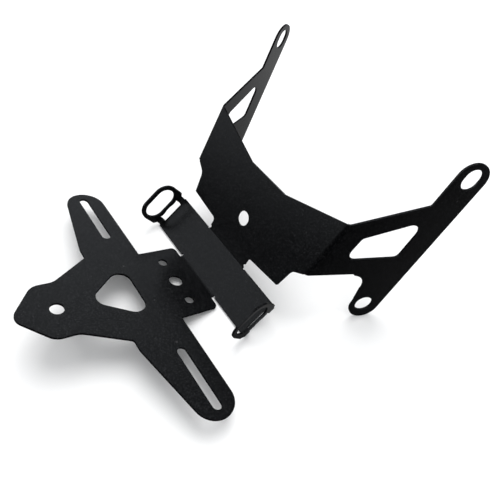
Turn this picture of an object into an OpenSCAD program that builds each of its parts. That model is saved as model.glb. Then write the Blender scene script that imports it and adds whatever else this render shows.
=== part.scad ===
// Tail bracket folded from one sheet: a plate holder with two slotted arms,
// a lamp tab, a cross strip with an upturned ring at each end,
// an undertail panel and two side wings that hold it to the frame.
// It rests as it is modelled: on the lower fold and on the two wing lobes.

/* [Sheet] */
// Thickness of the sheet
sheet_t = 1.5; // [1.2:0.1:2]
// Inside radius of every fold
fold_r = 1.5; // [1:0.25:2]
// Fold between the plate holder and the strip, degrees
strip_fold = 56.3; // [50:0.5:62]
// Fold between the strip and the panel, degrees
panel_fold = 22.6; // [18:0.5:28]
// Fold between the strip and a ring, degrees
ring_fold = 84.5; // [80:0.5:90]
// Fold between the panel and a wing, degrees
wing_fold = 66.8; // [62:0.5:72]

// Relief cut beside the end of a long fold, width
cut_w = 1.6; // [1:0.1:2]
// Step in of a fold from the edges beside it
fold_in = 0.2; // [0.1:0.05:0.3]

/* [Plate holder] */
// Lower fixing hole, diameter
plate_hole_d = 8; // [6:0.5:9]
// Lower fixing hole, distance from the strip fold
plate_hole_y = 94.3; // [90:0.5:98]
// Pointed end, distance of its sharp corner from the strip fold
tip_y = 118.6; // [115:0.5:122]
// Pointed end, corner radius
tip_r = 7; // [4:0.5:9]
// Half width of the lower lobe
lobe_w = 19.7; // [18:0.1:22]
// Lower corner of the lobe, distance from the strip fold
lobe_y = 102; // [100:0.5:105]
// Lower corner of the lobe, radius
lobe_r = 9; // [4:0.5:10]
// Waist above the lobe, distance from the strip fold
waist_y = 89.2; // [86:0.2:92]
// Waist, radius
waist_r = 10; // [5:1:14]
// Half width of the body below the arms
body_w = 34.3; // [32:0.1:36]
// Lower edge of the body below the arms, distance from the strip fold
body_y = 64.3; // [62:0.1:66]
// Inner corner below an arm, radius
body_r = 2; // [1:0.5:3]

/* [Arms] */
// Start of an arm's sloped edge, from the centre plane
arm_root_x = 41.5; // [39:0.5:45]
// Start of an arm's sloped edge, radius
arm_root_r = 14; // [8:1:18]
// Centre of an arm's round end, from the centre plane
arm_end_x = 83.6; // [80:0.2:86]
// Centre of an arm's round end, distance from the strip fold
arm_end_y = 42.5; // [41:0.1:44]
// Radius of an arm's round end
arm_end_r = 12.7; // [11:0.1:13]
// Arm slot, centre from the centre plane
slot_x = 69.4; // [66:0.2:72]
// Arm slot, length from end to end
slot_l = 42.8; // [36:0.2:44]
// Arm slot, width
slot_w = 5.8; // [5:0.1:6.6]

/* [Lightening hole] */
// Sharp corner nearest the pointed end, distance from the strip fold
tri_apex_y = 76.3; // [74:0.1:79]
// Edge nearest the strip, distance from the strip fold
tri_base_y = 44.8; // [43:0.1:47]
// Half width of its long edge between sharp corners
tri_half_w = 22.9; // [20:0.1:24]
// Corner radius
tri_r = 7; // [5:0.5:8]

/* [Lamp tab] */
// Half width of the tab
tab_w = 28.9; // [27:0.1:30]
// Edge where the tab leaves the arms, distance from the strip fold
tab_root_y = 29.4; // [28:0.1:31]
// Inner corner beside an arm, radius
tab_root_r = 0.8; // [0.5:0.1:1.5]
// Outer corner at the strip, radius
tab_corner_r = 3; // [2:0.25:4]
// Relief slit between the tab and the strip, width
tab_slit = 1.7; // [1.4:0.1:2]
// Half width of the fold to the strip
tab_neck_w = 20; // [18.5:0.1:22]
// Row of lamp holes, distance from the strip fold
lamp_y = 16.9; // [15:0.1:19]
// Outer lamp holes, distance from the centre plane
lamp_x = 17.5; // [15:0.5:19]
// Outer lamp holes, diameter
lamp_hole_d = 6; // [5:0.5:7]
// Middle wire hole, diameter
wire_hole_d = 9; // [8:0.5:10]

/* [Strip] */
// Width of the strip between its two long folds
strip_w = 27.3; // [26:0.1:29]
// Fold line of a ring, from the centre plane
strip_x = 55; // [53:0.1:57]
// Relief slot of a ring, its edge on the strip
relief_x = 52.5; // [51:0.1:53]
// Width of each of a ring's two legs
leg_w = 4.6; // [4:0.1:5.5]
// Step from a strip corner to a leg
leg_step = 0.7; // [0.3:0.1:1]
// Relief slot, corner radius
relief_r = 0.5; // [0.3:0.1:1]

/* [Rings] */
// Opening, length along the fold
ring_open_l = 23.9; // [23:0.1:25]
// Opening, height
ring_open_h = 13.6; // [12:0.1:14]
// Opening, centre above the fold line
ring_open_y = 12.3; // [12:0.1:13.5]
// Width of the metal round the opening
ring_band = 3.1; // [2.7:0.1:3.5]
// Top of the relief slot above the fold line
ring_relief_h = 3; // [2.6:0.1:3.4]
// Height of the legs below the ring's wide part
leg_h = 1.7; // [1.5:0.1:2]
// Height at which the ring has its full width
ring_full_h = 4; // [3.5:0.1:5]

/* [Panel] */
// Half width of the fold to the strip
neck_w = 20.4; // [19:0.1:22]
// Round relief at each end of that fold, radius
neck_relief_r = 1.2; // [0.8:0.1:1.6]
// Lower edge of an ear beside the neck, above the strip fold
ear_root_u = 8.2; // [7:0.1:9.5]
// Inner corner beside the neck, radius
ear_root_r = 2.6; // [2:0.1:3.5]
// Ear corner, from the centre plane
ear_x = 47.9; // [46:0.1:50]
// Ear corner, above the strip fold
ear_u = 10.8; // [9.5:0.1:12]
// Ear corner, radius
ear_r = 1; // [0.5:0.1:1.5]
// Inner corner above an ear, from the centre plane
side_x = 50.7; // [49:0.1:52]
// Inner corner above an ear, above the strip fold
side_u = 25; // [23:0.1:27]
// Inner corner above an ear, radius
side_r = 6; // [4:0.5:7]
// Wing fold, lower end, from the centre plane
wing_x0 = 60.2; // [59:0.1:61]
// Wing fold, lower end, above the strip fold
wing_u0 = 29.2; // [28:0.1:30.5]
// Wing fold, upper end, from the centre plane
wing_x1 = 63.4; // [62:0.1:65]
// Wing fold, upper end, above the strip fold
wing_u1 = 69.8; // [68:0.1:72]
// Top edge, height of its middle part above the strip fold
top_u = 56.6; // [54:0.1:59]
// Top edge, half length of its middle part
top_w = 17.3; // [15:0.1:20]
// Hole in the panel, height above the strip fold
panel_hole_u = 24.6; // [22:0.1:27]
// Hole in the panel, diameter
panel_hole_d = 9.8; // [8:0.1:11]

/* [Wings] */
// Lower edge at the fold, along the fold from its lower end
inner_p = 0.9; // [0.5:0.1:1.5]
// Inner corner above the lower lobe, from the fold
inner_q1 = 41.4; // [40:0.1:42]
// Inner corner above the lower lobe, along the fold
inner_p1 = 17.8; // [16:0.1:19]
// Inner corner above the lower lobe, radius
inner_r = 9.4; // [7:0.1:10]
// Centre of the lower lobe, from the fold
low_q = 54.1; // [52:0.1:56]
// Centre of the lower lobe, along the fold
low_p = -6.1; // [-8:0.1:-4]
// Radius of the lower lobe
low_r = 12; // [11:0.1:12.5]
// Hole in the lower lobe, diameter
low_hole_d = 11.6; // [10:0.1:12.5]
// Centre of the upper lobe, from the fold
high_q = 44.1; // [42:0.1:46]
// Centre of the upper lobe, along the fold
high_p = 92.4; // [90:0.1:95]
// Radius of the upper lobe
high_r = 11.1; // [10.6:0.1:12]
// Slot in the upper lobe, length from end to end
high_slot_l = 13.1; // [11.5:0.1:14]
// Slot in the upper lobe, width
high_slot_w = 10.6; // [9:0.1:11]
// Upper edge at the fold, along the fold from its lower end
edge_p = 42.3; // [41:0.1:44]
// Kink in the upper edge, from the fold
kink_q = 35.2; // [33:0.1:37]
// Kink in the upper edge, along the fold
kink_p = 72.6; // [70:0.1:75]
// Kink in the upper edge, radius
kink_r = 1.5; // [1:0.5:3]

/* [Wing windows] */
// Side of the window nearest the fold
win_q0 = 13.7; // [12:0.1:15]
// Lower corner nearest the fold, along the fold
win_p0 = 19.3; // [18:0.1:21]
// Upper corner nearest the fold, along the fold
win_p1 = 36.7; // [35:0.1:38]
// Upper far corner, from the fold
win_q2 = 43.5; // [42:0.1:45]
// Upper far corner, along the fold
win_p2 = 62.3; // [60:0.1:64]
// Lower far corner, from the fold
win_q3 = 46.3; // [44:0.1:48]
// Lower far corner, along the fold
win_p3 = 33.8; // [32:0.1:36]
// Radius of the lower corner nearest the fold
win_r0 = 5; // [3:0.5:6]
// Radius of the other three corners
win_r1 = 3.6; // [2:0.1:4]

/* [Hidden] */
$fn = 48;
coat = [0.10, 0.10, 0.105];
wing_lean = atan2(wing_x1 - wing_x0, wing_u1 - wing_u0);
wing_len = norm([wing_x1 - wing_x0, wing_u1 - wing_u0]);
wing_set = (fold_r + sheet_t) * tan(wing_fold / 2);
strip_set = fold_r * tan(strip_fold / 2);
panel_set = fold_r * tan(panel_fold / 2);
arc_grow = 0.002;
skin = 0.02;
hair = 0.05;
thin_t = sheet_t - 2 * skin;
cut_over = 1;
tongue = 0.5;
deep = 2 * sheet_t;
leg_lead = 0.6;
leg_x = relief_x + leg_lead;
arm_reach = arm_end_x + arm_end_r + cut_over;
strip_way = [cos(strip_fold), sin(strip_fold)];
strip_up = [-sin(strip_fold), cos(strip_fold)];
panel_way = [cos(strip_fold + panel_fold), sin(strip_fold + panel_fold)];
panel_up = [-sin(strip_fold + panel_fold), cos(strip_fold + panel_fold)];
fold_end = strip_w * strip_way;
ring_s = strip_w / 2;
ring_half = ring_open_l / 2 + ring_band;
ring_top = ring_open_y + ring_open_h / 2 + ring_band;
ring_corner_r = ring_open_h / 2 + ring_band;
settle_steps = 12;
settle_start = 19;

// Unit direction of the line from a to b
function way(a, b) = (b - a) / norm(b - a);

// Signed turn at b on the way from a to c
function turn(a, b, c) = atan2(
    way(a, b)[0] * way(b, c)[1] - way(a, b)[1] * way(b, c)[0],
    way(a, b) * way(b, c)
);

// Distance from a corner to where its arc begins
function reach(a, b, c, r) = r * tan(abs(turn(a, b, c)) / 2);

// Centre of the arc that rounds the corner at b
function arc_centre(a, b, c, r) =
    b + way(b, (b + way(b, a) + b + way(b, c)) / 2) * r / cos(abs(turn(a, b, c)) / 2);

// Point where a line from p touches a circle, side 1 or -1
function touch(p, c, r, side) =
    let (
        away = p - c,
        swing = side * acos(r / norm(away)),
        base = atan2(away[1], away[0])
    )
    c + r * [cos(base + swing), sin(base + swing)];

// Direction from two circle centres to their shared outer tangent
function shared_way(c0, r0, c1, r1) =
    let (
        d = c1 - c0,
        base = atan2(d[1], d[0]) - acos((r1 - r0) / norm(d))
    )
    [cos(base), sin(base)];

// A closed outline, counter-clockwise, with an arc at each corner that has a radius
module rounded(points, radii) {
    n = len(points);
    function prev(i) = points[(i + n - 1) % n];
    function next(i) = points[(i + 1) % n];
    flat = [
        for (i = [0:n - 1])
            for (side = radii[i] > 0 ? [0, 1] : [0])
                radii[i] > 0
                    ? points[i] + way(points[i], side == 0 ? prev(i) : next(i))
                        * reach(prev(i), points[i], next(i), radii[i])
                    : points[i]
    ];
    difference() {
        union() {
            polygon(flat);
            for (i = [0:n - 1])
                if (radii[i] > 0 && turn(prev(i), points[i], next(i)) > 0)
                    translate(arc_centre(prev(i), points[i], next(i), radii[i]))
                        circle(r = radii[i] + arc_grow);
        }
        for (i = [0:n - 1])
            if (radii[i] > 0 && turn(prev(i), points[i], next(i)) < 0)
                translate(arc_centre(prev(i), points[i], next(i), radii[i]))
                    circle(r = radii[i] + arc_grow);
    }
}

// A long round-ended hole centred on its middle
module round_slot(length, width) {
    straight = length - width;
    square([straight, width], center = true);
    for (side = [-1, 1])
        translate([side * straight / 2, 0])
            circle(d = width + 2 * arc_grow);
}

// A prism over a flat outline, deep enough to cut the sheet that lies under the plane Z = 0
module through_sheet() {
    translate([0, 0, -sheet_t - cut_over])
        linear_extrude(sheet_t + 2 * cut_over)
            children();
}

// Sets a section drawn in Y and Z along X, from low to high
module along_x(low, high) {
    translate([low, 0, 0])
        rotate([90, 0, 90])
            linear_extrude(high - low)
                children();
}

// The sector that a fold sweeps round its centre, out to the mitre of two lines at radius r
module sector(start, angle, r) {
    mid = start + angle / 2;
    polygon([
        [0, 0],
        r * [cos(start), sin(start)],
        r / cos(angle / 2) * [cos(mid), sin(mid)],
        r * [cos(start + angle), sin(start + angle)]
    ]);
}

// What the inside of a fold gains over two sheets that meet in a sharp corner
module inside_fillet(centre, heading, angle, thick) {
    translate(centre)
        difference() {
            sector(heading - 90, angle, fold_r + thick / 2);
            circle(r = fold_r + arc_grow);
        }
}

// What the outside of a fold loses
module outside_round(centre, heading, angle, thick) {
    translate(centre)
        difference() {
            sector(heading - 90, angle, fold_r + thick + cut_over);
            circle(r = fold_r + thick + arc_grow);
        }
}

// Section of one fold: along +X with its upper face on Y = 0, then upwards
module fold_section(angle, before, after, thick) {
    out = [cos(angle), sin(angle)];
    up = [-sin(angle), cos(angle)];
    centre = [-fold_r * tan(angle / 2), fold_r];
    difference() {
        union() {
            polygon([
                [-before, -thick], [thick * tan(angle / 2), -thick],
                out * after - up * thick, out * after, [0, 0], [-before, 0]
            ]);
            inside_fillet(centre, 0, angle, thick);
        }
        outside_round(centre, 0, angle, thick);
    }
}

// Plate holder, arms and lamp tab
module plate_outline() {
    end = [arm_end_x, -arm_end_y];
    low_touch = touch([arm_root_x, -body_y], end, arm_end_r, 1);
    top_touch = touch([tab_w, -tab_root_y], end, arm_end_r, -1);
    side = [
        [[lobe_w, -lobe_y], lobe_r],
        [[lobe_w, -waist_y], waist_r],
        [[body_w, -body_y], body_r],
        [[arm_root_x, -body_y], arm_root_r],
        [low_touch, 0],
        [top_touch, 0],
        [[tab_w, -tab_root_y], tab_root_r],
        [[tab_w, -tab_slit], tab_corner_r]
    ];
    last = len(side) - 1;
    points = concat(
        [[0, -tip_y]],
        [for (s = side) s[0]],
        [for (i = [last:-1:0]) [-side[i][0][0], side[i][0][1]]]
    );
    radii = concat([tip_r], [for (s = side) s[1]], [for (i = [last:-1:0]) side[i][1]]);
    rounded(points, radii);
    for (side = [-1, 1])
        translate([side * arm_end_x, -arm_end_y])
            circle(r = arm_end_r + arc_grow);
}

// Rounded triangle in the plate holder
module triangle_hole() {
    rounded(
        [[0, -tri_apex_y], [tri_half_w, -tri_base_y], [-tri_half_w, -tri_base_y]],
        [tri_r, tri_r, tri_r]
    );
}

module plate_cut() {
    through_sheet()
        difference() {
            plate_outline();
            translate([0, -plate_hole_y])
                circle(d = plate_hole_d);
            triangle_hole();
            for (side = [-1, 1])
                translate([side * slot_x, -arm_end_y])
                    round_slot(slot_l, slot_w);
            for (side = [-1, 1])
                translate([side * lamp_x, -lamp_y])
                    circle(d = lamp_hole_d);
            translate([0, -lamp_y])
                circle(d = wire_hole_d);
        }
}

// Cross strip with a pocket at each end that frees the ring's legs
module strip_outline() {
    leg_end = leg_step + leg_w + fold_in;
    side = [
        [[tab_neck_w + cut_w, strip_set + fold_in], 0],
        [[tab_neck_w + cut_w, 0], 0],
        [[leg_x, 0], 0],
        [[leg_x, leg_end], 0],
        [[relief_x, leg_end], 0],
        [[relief_x, strip_w - leg_end], 0],
        [[leg_x, strip_w - leg_end], 0],
        [[leg_x, strip_w], 0],
        [[neck_w + cut_w, strip_w], 0],
        [[neck_w + cut_w, strip_w - panel_set - fold_in], 0]
    ];
    last = len(side) - 1;
    points = concat(
        [for (s = side) s[0]],
        [for (i = [last:-1:0]) [-side[i][0][0], side[i][0][1]]]
    );
    polygon(points);
}

module strip_cut() {
    through_sheet()
        strip_outline();
}

// Ring outline above its legs, with X along the fold and Y up from the fold line
module ring_outline() {
    leg = ring_s - leg_step - fold_in;
    gap = ring_s - leg_step - leg_w + fold_in;
    difference() {
        rounded(
            [
                [gap, leg_h], [leg, leg_h],
                [ring_half, ring_full_h], [ring_half, ring_top],
                [-ring_half, ring_top], [-ring_half, ring_full_h],
                [-leg, leg_h], [-gap, leg_h],
                [-gap, ring_relief_h], [gap, ring_relief_h]
            ],
            [0, 0, 0, ring_corner_r, ring_corner_r, 0, 0, 0, relief_r, relief_r]
        );
        translate([0, ring_open_y])
            round_slot(ring_open_l, ring_open_h);
    }
}

// Right ring with its two legs, in the strip's own frame
module ring_part() {
    translate([strip_x, ring_s, -skin])
        rotate([0, 0, -90])
            intersection() {
                along_x(-ring_half - cut_over, ring_half + cut_over)
                    fold_section(ring_fold, strip_x - leg_x + tongue, ring_top + cut_over, thin_t);
                union() {
                    for (side = [-1, 1])
                        translate([side * (ring_s - leg_step - leg_w / 2), 0, 0])
                            cube([leg_w, ring_top, 2 * (ring_relief_h - fold_in)], center = true);
                    rotate([ring_fold, 0, 0])
                        through_sheet()
                            ring_outline();
                }
            }
}

// Undertail panel above its neck
module panel_outline() {
    out = [cos(wing_lean), -sin(wing_lean)];
    along = [sin(wing_lean), cos(wing_lean)];
    base = [wing_x0, wing_u0] - out * wing_set;
    side = [
        [[neck_w - skin, ear_root_u - ear_root_r - cut_over], 0],
        [[neck_w - skin, ear_root_u], ear_root_r],
        [[ear_x, ear_u], ear_r],
        [[side_x, side_u], side_r],
        [base, 0],
        [base + along * wing_len, 0],
        [[top_w, top_u], 0]
    ];
    last = len(side) - 1;
    points = concat(
        [for (s = side) s[0]],
        [for (i = [last:-1:0]) [-side[i][0][0], side[i][0][1]]]
    );
    radii = concat([for (s = side) s[1]], [for (i = [last:-1:0]) side[i][1]]);
    rounded(points, radii);
}

module panel_cut() {
    through_sheet()
        difference() {
            panel_outline();
            translate([0, panel_hole_u])
                circle(d = panel_hole_d);
        }
}

// Wing window
module wing_window() {
    rounded(
        [[win_q0, win_p0], [win_q3, win_p3], [win_q2, win_p2], [win_q0, win_p1]],
        [win_r0, win_r1, win_r1, win_r1]
    );
}

// Wing outline with X away from the fold and Y along it
module wing_outline() {
    low = [low_q, low_p];
    high = [high_q, high_p];
    outer = shared_way(low, low_r, high, high_r);
    climb = (inner_p1 - inner_p) / inner_q1;
    rise = (kink_p - edge_p) / kink_q;
    rounded(
        [
            [-wing_set, inner_p - climb * wing_set],
            [inner_q1, inner_p1],
            touch([inner_q1, inner_p1], low, low_r, 1),
            low + outer * low_r,
            high + outer * high_r,
            touch([kink_q, kink_p], high, high_r, -1),
            [kink_q, kink_p],
            [-wing_set, edge_p - rise * wing_set]
        ],
        [0, inner_r, 0, 0, 0, 0, kink_r, 0]
    );
    translate(low)
        circle(r = low_r + arc_grow);
    translate(high)
        circle(r = high_r + arc_grow);
}

module wing_cut() {
    translate([0, 0, -deep - cut_over])
        linear_extrude(deep + 2 * cut_over)
            difference() {
                wing_outline();
                wing_window();
                translate([low_q, low_p])
                    circle(d = low_hole_d);
                translate([high_q, high_p])
                    rotate(atan2(high_p - low_p, high_q - low_q))
                        round_slot(high_slot_l, high_slot_w);
            }
}

// Right wing with its fold, in the panel's own frame
module wing_part() {
    lower = sheet_t - skin;
    far = high_p + high_r + cut_over;
    near = low_p - low_r - cut_over;
    translate([wing_x0, wing_u0, 0])
        rotate([0, 0, -wing_lean])
            intersection() {
                translate([-lower * tan(wing_fold / 2), near, -lower])
                    rotate([-90, 0, 0])
                        linear_extrude(far - near)
                            fold_section(wing_fold, wing_set + tongue, low_q + low_r + cut_over, thin_t);
                rotate([0, wing_fold, 0])
                    wing_cut();
                union() {
                    translate([hair - wing_set, near, -far])
                        cube([far, far - near, far + cut_over]);
                    translate([-wing_set - tongue, inner_p + fold_in, -sheet_t])
                        cube([2 * tongue, wing_len - inner_p - 2 * fold_in, sheet_t]);
                }
            }
}

// Section of the plate holder, the strip and the panel, with sharp folds
module spine_section() {
    polygon([
        [-tip_y, -sheet_t],
        [sheet_t * tan(strip_fold / 2), -sheet_t],
        fold_end + strip_way * sheet_t * tan(panel_fold / 2) - strip_up * sheet_t,
        fold_end + panel_way * wing_u1 - panel_up * sheet_t,
        fold_end + panel_way * wing_u1,
        fold_end,
        [0, 0],
        [-tip_y, 0]
    ]);
}

// The three flats with their two folds, not yet cut to shape
module spine_sheet() {
    first = [-strip_set, fold_r];
    second = fold_end - strip_way * panel_set + strip_up * fold_r;
    difference() {
        union() {
            along_x(-arm_reach, arm_reach)
                spine_section();
            along_x(-tab_neck_w - fold_in, tab_neck_w + fold_in)
                inside_fillet(first, 0, strip_fold, sheet_t);
            along_x(-neck_w - fold_in, neck_w + fold_in)
                inside_fillet(second, strip_fold, panel_fold, sheet_t);
        }
        along_x(-tab_neck_w - fold_in, tab_neck_w + fold_in)
            outside_round(first, 0, strip_fold, sheet_t);
        along_x(-neck_w - fold_in, neck_w + fold_in)
            outside_round(second, strip_fold, panel_fold, sheet_t);
    }
}

// Everything that the cutting of the flat sheet leaves of the spine
module spine_cut() {
    plate_cut();
    translate([-tab_neck_w, -tab_slit - cut_over, -sheet_t - cut_over])
        cube([2 * tab_neck_w, tab_slit + cut_over + deep, sheet_t + cut_over + deep]);
    rotate([strip_fold, 0, 0])
        strip_cut();
    translate([-neck_w, fold_end[0] - deep, fold_end[1] - deep])
        cube([2 * neck_w, ear_root_u + deep, (ear_root_u + cut_over) * panel_way[1] + deep]);
    in_panel()
        panel_cut();
}

// Round notches that free the ends of the fold between the strip and the panel
module neck_reliefs() {
    for (side = [-1, 1])
        translate([side * neck_w, panel_set + hair + neck_relief_r])
            through_sheet()
                circle(r = neck_relief_r);
}

// Moves its children to the panel's own frame
module in_panel() {
    rotate([strip_fold, 0, 0])
        translate([0, strip_w, 0])
            rotate([panel_fold, 0, 0])
                children();
}

// The whole folded sheet with the plate holder level and the strip fold on X
module bracket_flat() {
    difference() {
        intersection() {
            spine_sheet();
            spine_cut();
        }
        in_panel()
            neck_reliefs();
    }
    for (side = [0, 1])
        mirror([side, 0, 0]) {
            rotate([strip_fold, 0, 0])
                ring_part();
            in_panel()
                wing_part();
        }
}

// A wing's own directions and the centre of its lower lobe, plate holder level
function spin_x(v, a) = [v[0], v[1] * cos(a) - v[2] * sin(a), v[1] * sin(a) + v[2] * cos(a)];
panel_turn = strip_fold + panel_fold;
function from_panel(v) = spin_x(v, panel_turn);
wing_p_way = from_panel([sin(wing_lean), cos(wing_lean), 0]);
wing_q_way = from_panel([
    cos(wing_fold) * cos(wing_lean),
    -cos(wing_fold) * sin(wing_lean),
    -sin(wing_fold)
]);
wing_face_way = cross(wing_q_way, wing_p_way);
wing_base = spin_x([0, strip_w, 0], strip_fold) + from_panel([wing_x0, wing_u0, 0]);
low_lobe = wing_base + wing_q_way * low_q + wing_p_way * low_p - wing_face_way * (sheet_t - skin);
high_lobe = wing_base + wing_q_way * high_q + wing_p_way * high_p
    - wing_face_way * (sheet_t - skin);

// Height and depth of a point once the bracket leans back by an angle
function height(v, a) = v[2] * cos(a) - v[1] * sin(a);
function depth(v, a) = v[1] * cos(a) + v[2] * sin(a);
fold_axis = [0, -strip_set, fold_r];
function fold_low(a) = height(fold_axis, a) - fold_r - sheet_t;
function lobe_low(a) = height(low_lobe, a) - low_r * sqrt(1 - pow(height(wing_face_way, a), 2));
function settle(a, n) = n == 0 ? a : settle(
    a + (lobe_low(a) - fold_low(a)) / norm(low_lobe - fold_axis) * 180 / PI,
    n - 1
);
rest_lean = settle(settle_start, settle_steps);
tip_point = [0, -tip_y + tip_r / sin(atan2(lobe_w, tip_y - lobe_y)) - tip_r, 0];
front_y = depth(tip_point, rest_lean) - sheet_t * sin(rest_lean);
back_y = depth(high_lobe, rest_lean)
    + high_r * sqrt(1 - pow(depth(wing_face_way, rest_lean), 2));

// The bracket as it rests, with the middle of its base at the origin
module folded_bracket() {
    color(coat)
        translate([0, -(front_y + back_y) / 2, -fold_low(rest_lean)])
            rotate([-rest_lean, 0, 0])
                bracket_flat();
}

folded_bracket();
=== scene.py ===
import bmesh
import bpy
from mathutils import Matrix, Vector


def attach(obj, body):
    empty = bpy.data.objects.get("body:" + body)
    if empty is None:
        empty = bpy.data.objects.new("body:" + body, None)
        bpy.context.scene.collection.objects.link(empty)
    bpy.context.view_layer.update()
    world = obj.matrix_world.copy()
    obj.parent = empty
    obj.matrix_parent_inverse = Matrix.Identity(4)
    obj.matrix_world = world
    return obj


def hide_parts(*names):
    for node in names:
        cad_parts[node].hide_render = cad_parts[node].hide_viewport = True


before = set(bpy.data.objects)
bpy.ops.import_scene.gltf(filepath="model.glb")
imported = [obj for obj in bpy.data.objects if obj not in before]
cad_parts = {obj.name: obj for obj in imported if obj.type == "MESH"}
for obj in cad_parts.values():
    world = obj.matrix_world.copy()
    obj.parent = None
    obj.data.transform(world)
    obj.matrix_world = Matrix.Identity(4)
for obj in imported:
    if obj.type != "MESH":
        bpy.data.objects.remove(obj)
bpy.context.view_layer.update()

# Lengths are in metres and places are in the frame of the part's own model, unless a comment says
# mm. Colours are red, green, blue and alpha.
MM = 0.001
CAD_NODE = "folded_bracket"
BODY = "root"
SHEET = "bracket_sheet"

# Camera: its place, its own axes, and its lens and sensor width in mm
CAMERA_PLACE = (0.16986, -0.112616, 0.263702)
CAMERA_RIGHT = (0.568810, 0.817110, 0.093690)
CAMERA_UP = (-0.659520, 0.385090, 0.645560)
CAMERA_BACK = (0.491410, -0.428990, 0.757940)
CAMERA_LENS = 34.886
CAMERA_SENSOR = 36.0
CAMERA_NEAR = 0.01
CAMERA_FAR = 100.0

# The right wing's own frame: a point on its fold, then the ways out from the fold, along it and out
# of the wing's face. The left wing is its mirror in x.
WING_BASE = Vector((60.2, 27.9803, 43.4209)) * MM
WING_OUT = Vector((0.392724, 0.783582, -0.481423))
WING_ALONG = Vector((0.078574, 0.492978, 0.866487))
WING_FACE = WING_OUT.cross(WING_ALONG)

# Places on a wing, in mm out from its fold and along it
UPPER_LOBE = (44.1, 92.4)
LOWER_LOBE = (54.1, -6.1)
KINK = (35.2, 72.6)
INNER_CORNER = (41.4, 17.8)
WINDOW_FAR_CORNER = (43.5, 62.3)
WINDOW_NEAR_LOW = (13.7, 19.3)
WINDOW_NEAR_HIGH = (13.7, 36.7)

# How a wing's outline is fitted. A row has a place, the reach round it, the move of what lies
# within that reach, all in mm, and its scale about the place. The first row that reaches a point
# counts, so the upper lobe's slot keeps its size and the lower lobe's hole stays where it is.
WING_MOVES = (
    (UPPER_LOBE, 8.0, (1.7, 1.1), 1.0),
    (UPPER_LOBE, 11.3, (1.7, 1.1), 0.919),
    (LOWER_LOBE, 6.5, (0.0, 0.0), 1.0),
    (LOWER_LOBE, 12.2, (1.6, -1.0), 0.86),
    (KINK, 3.0, (2.3, -1.4), 1.0),
    (INNER_CORNER, 13.6, (0.3, -1.2), 1.0),
    (WINDOW_FAR_CORNER, 7.2, (0.0, 0.0), 1.5),
    (WINDOW_NEAR_LOW, 8.2, (0.7, 0.0), 1.0),
    (WINDOW_NEAR_HIGH, 6.0, (0.7, 0.0), 1.0),
)

# Where a wing's sheet lies out of its face, how far its fold reaches, and how far the top of the
# fold is lowered, at most to where the panel's edge ends
WING_LOWEST = -1.7 * MM
WING_HIGHEST = 0.2 * MM
FOLD_REACH = 3.0 * MM
FOLD_TOP_MOVE = -1.8 * MM
PANEL_END = 40.75 * MM

# Sheet edges, with angles in radians: flatter edges than these aren't kept, or aren't rounded
WELD = 0.05 * MM
FLAT_ANGLE = 0.01
EDGE_ROUND = 0.15 * MM
EDGE_STEPS = 2
EDGE_ANGLE = 0.7

# Powder coat: black with a fine light grain, a slow cloud of roughness and an orange peel bump.
# Scales are in cells per metre.
COAT_COLOUR = (0.0010, 0.0011, 0.0014, 1.0)
COAT_GRAIN_COLOUR = (0.0190, 0.0195, 0.0210, 1.0)
COAT_ROUGH_LOW = 0.20
COAT_ROUGH_HIGH = 0.26
COAT_SPECULAR = 0.5
GRAIN_SCALE = 1250.0
GRAIN_DETAIL = 3.0
GRAIN_FROM = 0.47
GRAIN_TO = 0.75
CLOUD_SCALE = 45.0
CLOUD_DETAIL = 3.0
PEEL_SCALE = 900.0
PEEL_DETAIL = 2.0
PEEL_DEPTH = 0.02 * MM
PEEL_STRENGTH = 0.7

# Specks of dust on the coat: place and radius in mm, and the share of the radius that is covered
SPECKS = (
    ((-21.0, -50.0, 15.2), 0.9),
    ((11.0, -45.0, 13.6), 0.55),
    ((44.0, -48.0, 14.5), 1.0),
    ((44.0, 38.0, 61.0), 0.6),
    ((86.0, 106.0, 89.0), 0.7),
)
SPECK_COLOUR = (0.024, 0.024, 0.025, 1.0)
SPECK_COVER = 0.6

# Floor as the camera sees it
FLOOR_SIZE = 30.0
FLOOR_COLOUR = (0.90, 0.90, 0.90, 1.0)

# Floor as the coat mirrors it and as light bounces off it: painted light and shade, seen only in
# the coat's reflections and in bounced light. It is painted dark at one end and lighter along a way
# across the floor, by a power of the share of that way, and has a painted soft light spot beside
# the right ring
MIRRORED_DARK = (0.0, 0.0, 0.0, 1.0)
MIRRORED_LIGHT = (0.36, 0.36, 0.36, 1.0)
MIRRORED_WAY = (-0.55, 1.0, 0.0)
MIRRORED_FROM = -0.10
MIRRORED_TO = 0.285
MIRRORED_CURVE = 1.7
SPOT_PLACE = (0.070, 0.016, 0.0)
SPOT_OUTER = 0.040
SPOT_INNER = 0.010
SPOT_SHARE = 0.5

# Sky as the camera sees it, and as it lights the scene
BACKDROP = (1.0, 1.0, 1.0, 1.0)
BACKDROP_STRENGTH = 1.0
SKY_COLOUR = (0.99, 1.0, 1.01, 1.0)
SKY_STRENGTH = 0.88

# Sky as the coat mirrors it: GLOSS_WAY runs across a dark gap, which lies at GLOSS_GAP along it.
# The sky gets lighter to both sides of the gap, and upward from a height that is lower further
# from the gap. It is dimmed overhead. All of it goes by a ray's direction, as a unit vector.
GLOSS_COLOUR = (0.95, 1.0, 1.06, 1.0)
GLOSS_STRENGTH = 0.44
GLOSS_WAY = (-1.0, -0.35, 0.0)
GLOSS_GAP = -0.2
GLOSS_ASIDE_FROM = 0.05
GLOSS_ASIDE_TO = 0.62
GLOSS_TILT = 0.5
GLOSS_RISE_FROM = 0.535
GLOSS_RISE_TO = 0.69
GLOSS_TOP_SHARE = 0.25
GLOSS_TOP_FROM = 0.66
GLOSS_TOP_TO = 0.85

# Key light: the way it comes from, its width in radians and its strength
KEY_FROM = Vector((-0.22, 0.26, 0.92))
KEY_WIDTH = 0.8
KEY_STRENGTH = 1.8


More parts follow.
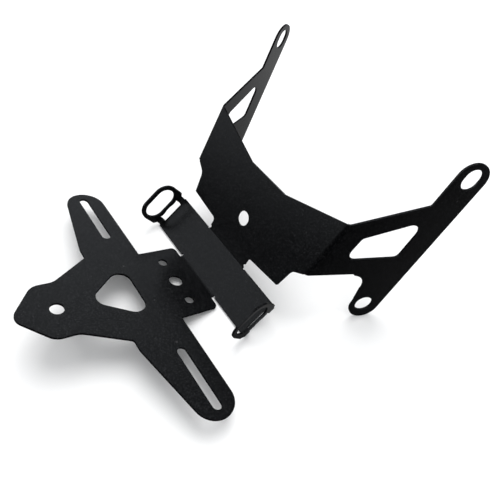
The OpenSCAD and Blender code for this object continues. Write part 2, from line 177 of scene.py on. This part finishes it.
def feed(tree, inputs, values):
    """Gives each named input a fixed value, or links it to another node's output."""
    for key, value in values.items():
        if isinstance(value, bpy.types.NodeSocket):
            tree.links.new(value, inputs[key])
        else:
            inputs[key].default_value = value


def add_node(tree, kind, output, inputs=None, **settings):
    """Adds a node with its settings and inputs, and gives the named output."""
    node = tree.nodes.new(kind)
    for name, value in settings.items():
        setattr(node, name, value)
    feed(tree, node.inputs, inputs or {})
    return node.outputs[output]


def noise(tree, place, scale, detail):
    """Noise between 0 and 1 at a place."""
    inputs = {"Vector": place, "Scale": scale, "Detail": detail}
    return add_node(tree, "ShaderNodeTexNoise", "Fac", inputs)


def ramp(tree, value, low, high, to_low=0.0, to_high=1.0):
    """Goes from to_low to to_high while the value goes from low to high."""
    inputs = {
        "Value": value, "From Min": low, "From Max": high, "To Min": to_low, "To Max": to_high,
    }
    return add_node(tree, "ShaderNodeMapRange", "Result", inputs)


def maths(tree, operation, *values):
    """A number worked out from others."""
    inputs = dict(enumerate(values))
    return add_node(tree, "ShaderNodeMath", "Value", inputs, operation=operation)


def measure(tree, operation, first, second):
    """A number worked out from two vectors, such as their distance."""
    inputs = {0: first, 1: second}
    return add_node(tree, "ShaderNodeVectorMath", "Value", inputs, operation=operation)


def blend(tree, share, first, second):
    """A colour between two others."""
    inputs = {"Factor": share, "A": first, "B": second}
    return add_node(tree, "ShaderNodeMix", "Result", inputs, data_type="RGBA")


def switch(tree, ray, otherwise, seen):
    """One shader for the rays of a kind, and another for the rest."""
    inputs = {"Fac": add_node(tree, "ShaderNodeLightPath", ray), 1: otherwise, 2: seen}
    return add_node(tree, "ShaderNodeMixShader", "Shader", inputs)


def background(tree, colour, strength):
    """A sky of one colour."""
    inputs = {"Color": colour, "Strength": strength}
    return add_node(tree, "ShaderNodeBackground", "Background", inputs)


def new_material(name):
    """A node material, with its node tree and its main shader."""
    material = bpy.data.materials.new(name)
    material.use_nodes = True
    tree = material.node_tree
    return material, tree, tree.nodes["Principled BSDF"]


def powder_coat():
    """Satin black powder coat with its grain and orange peel, and the dust on it."""
    material, tree, shader = new_material("powder_coat")
    place = add_node(tree, "ShaderNodeTexCoord", "Object")
    grain = ramp(tree, noise(tree, place, GRAIN_SCALE, GRAIN_DETAIL), GRAIN_FROM, GRAIN_TO)
    colour = blend(tree, grain, COAT_COLOUR, COAT_GRAIN_COLOUR)
    for spot, radius in SPECKS:
        away = measure(tree, "DISTANCE", place, Vector(spot) * MM)
        cover = ramp(tree, away, radius * MM, radius * SPECK_COVER * MM)
        colour = blend(tree, cover, colour, SPECK_COLOUR)
    cloud = noise(tree, place, CLOUD_SCALE, CLOUD_DETAIL)
    peel = noise(tree, place, PEEL_SCALE, PEEL_DETAIL)
    bump = {"Strength": PEEL_STRENGTH, "Distance": PEEL_DEPTH, "Height": peel}
    feed(tree, shader.inputs, {
        "Base Color": colour,
        "Roughness": ramp(tree, cloud, 0.0, 1.0, COAT_ROUGH_LOW, COAT_ROUGH_HIGH),
        "Specular IOR Level": COAT_SPECULAR,
        "Normal": add_node(tree, "ShaderNodeBump", "Normal", bump),
    })
    return material


def floor_paper():
    """Pale matt paper for the camera, and for every other ray a darker floor with painted light and
    shade on it.
    """
    material, tree, shader = new_material("floor_paper")
    feed(tree, shader.inputs, {
        "Base Color": FLOOR_COLOUR, "Roughness": 1.0, "Specular IOR Level": 0.0,
    })
    # Painted reflection: a painted rise of light across the floor and a painted light spot, which
    # the coat mirrors
    place = add_node(tree, "ShaderNodeTexCoord", "Object")
    along = measure(tree, "DOT_PRODUCT", place, MIRRORED_WAY)
    rise = maths(tree, "POWER", ramp(tree, along, MIRRORED_FROM, MIRRORED_TO), MIRRORED_CURVE)
    away = measure(tree, "DISTANCE", place, SPOT_PLACE)
    spot = ramp(tree, away, SPOT_OUTER, SPOT_INNER, 0.0, SPOT_SHARE)
    tone = blend(tree, maths(tree, "MAXIMUM", rise, spot), MIRRORED_DARK, MIRRORED_LIGHT)
    mirrored = add_node(tree, "ShaderNodeBsdfDiffuse", "BSDF", {"Color": tone})
    surface = switch(tree, "Is Camera Ray", mirrored, shader.outputs["BSDF"])
    feed(tree, tree.nodes["Material Output"].inputs, {"Surface": surface})
    return material


def fitted(out, along):
    """Where a point of a wing's outline goes, out from the fold and along it."""
    for place, reach, move, scale in WING_MOVES:
        away = Vector((out / MM - place[0], along / MM - place[1]))
        if away.length < reach:
            away = away * scale + Vector(place) + Vector(move)
            return away.x * MM, away.y * MM
    return out, along


def fit_wings(work):
    """Moves the points of both wings' outlines in the wings' own planes."""
    for vert in work.verts:
        side = Vector((-1.0 if vert.co.x < 0 else 1.0, 1.0, 1.0))
        local = vert.co * side - WING_BASE
        out, along, face = (local.dot(way) for way in (WING_OUT, WING_ALONG, WING_FACE))
        if abs(out) < FOLD_REACH and abs(face) < FOLD_REACH:
            if along > PANEL_END + WELD:
                along = max(along + FOLD_TOP_MOVE, PANEL_END)
        elif out > 0 and WING_LOWEST < face < WING_HIGHEST:
            out, along = fitted(out, along)
        else:
            continue
        place = WING_BASE + WING_OUT * out + WING_ALONG * along + WING_FACE * face
        vert.co = place * side


def softened_sheet(source, material):
    """The sheet with its wings fitted and its cut edges rounded, as the coat leaves them."""
    mesh = source.data.copy()
    mesh.name = SHEET
    work = bmesh.new()
    work.from_mesh(mesh)
    bmesh.ops.remove_doubles(work, verts=work.verts[:], dist=WELD)
    bmesh.ops.dissolve_limit(
        work, angle_limit=FLAT_ANGLE, verts=work.verts[:], edges=work.edges[:],
        use_dissolve_boundaries=False,
    )
    fit_wings(work)
    bmesh.ops.triangulate(work, faces=work.faces[:], quad_method="BEAUTY", ngon_method="BEAUTY")
    for face in work.faces:
        face.smooth = True
    work.to_mesh(mesh)
    work.free()
    mesh.materials.clear()
    mesh.materials.append(material)
    sheet = bpy.data.objects.new(SHEET, mesh)
    bpy.context.scene.collection.objects.link(sheet)
    bevel = sheet.modifiers.new("edge_round", "BEVEL")
    bevel.width = EDGE_ROUND
    bevel.segments = EDGE_STEPS
    bevel.limit_method = "ANGLE"
    bevel.angle_limit = EDGE_ANGLE
    bevel.use_clamp_overlap = False
    normals = sheet.modifiers.new("flat_faces", "WEIGHTED_NORMAL")
    normals.keep_sharp = False
    return sheet


def make_camera():
    """The camera at the photograph's place."""
    data = bpy.data.cameras.new("camera")
    data.lens = CAMERA_LENS
    data.sensor_width = CAMERA_SENSOR
    data.clip_start = CAMERA_NEAR
    data.clip_end = CAMERA_FAR
    camera = bpy.data.objects.new("camera", data)
    turn = Matrix((CAMERA_RIGHT, CAMERA_UP, CAMERA_BACK)).transposed().to_4x4()
    camera.matrix_world = Matrix.Translation(CAMERA_PLACE) @ turn
    bpy.context.scene.collection.objects.link(camera)
    bpy.context.scene.camera = camera


def make_floor():
    """A plain pale floor under the object."""
    half = FLOOR_SIZE / 2
    corners = [(-half, -half, 0), (half, -half, 0), (half, half, 0), (-half, half, 0)]
    mesh = bpy.data.meshes.new("floor")
    mesh.from_pydata(corners, [], [(0, 1, 2, 3)])
    mesh.materials.append(floor_paper())
    floor = bpy.data.objects.new("floor", mesh)
    bpy.context.scene.collection.objects.link(floor)


def make_key_light():
    """One broad soft light, from above and beyond the object. The coat doesn't mirror it."""
    data = bpy.data.lights.new("key", "SUN")
    data.angle = KEY_WIDTH
    data.energy = KEY_STRENGTH
    lamp = bpy.data.objects.new("key", data)
    lamp.rotation_mode = "QUATERNION"
    lamp.rotation_quaternion = (-KEY_FROM).to_track_quat("-Z", "Y")
    lamp.visible_glossy = False
    bpy.context.scene.collection.objects.link(lamp)


def mirrored_brightness(tree):
    """How bright the sky is that the coat mirrors: two light sides with a dark gap between."""
    way = add_node(tree, "ShaderNodeTexCoord", "Generated")
    height = add_node(tree, "ShaderNodeSeparateXYZ", "Z", {"Vector": way})
    across = measure(tree, "DOT_PRODUCT", way, GLOSS_WAY)
    aside = maths(tree, "ABSOLUTE", maths(tree, "SUBTRACT", across, GLOSS_GAP))
    rise = maths(tree, "MULTIPLY_ADD", aside, GLOSS_TILT, height)
    by_rise = ramp(tree, rise, GLOSS_RISE_FROM, GLOSS_RISE_TO)
    by_side = ramp(tree, aside, GLOSS_ASIDE_FROM, GLOSS_ASIDE_TO)
    lit = maths(tree, "MULTIPLY", maths(tree, "MULTIPLY", by_rise, by_side), GLOSS_STRENGTH)
    overhead = ramp(tree, height, GLOSS_TOP_FROM, GLOSS_TOP_TO, 1.0, GLOSS_TOP_SHARE)
    return maths(tree, "MULTIPLY", lit, overhead)


def make_sky():
    """A white backdrop for the camera, a studio for the coat to mirror, and even light."""
    world = bpy.data.worlds.new("studio")
    world.use_nodes = True
    tree = world.node_tree
    light = background(tree, SKY_COLOUR, SKY_STRENGTH)
    studio = background(tree, GLOSS_COLOUR, mirrored_brightness(tree))
    unseen = switch(tree, "Is Glossy Ray", light, studio)
    backdrop = background(tree, BACKDROP, BACKDROP_STRENGTH)
    surface = switch(tree, "Is Camera Ray", unseen, backdrop)
    feed(tree, tree.nodes["World Output"].inputs, {"Surface": surface})
    bpy.context.scene.world = world
    bpy.context.scene.view_settings.view_transform = "Standard"


def main():
    coat = powder_coat()
    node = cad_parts[CAD_NODE]
    sheet = softened_sheet(node, coat)
    node.data.materials.clear()
    node.data.materials.append(coat)
    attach(sheet, BODY)
    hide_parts(CAD_NODE)
    make_floor()
    make_key_light()
    make_sky()
    make_camera()
    bpy.context.view_layer.update()


main()
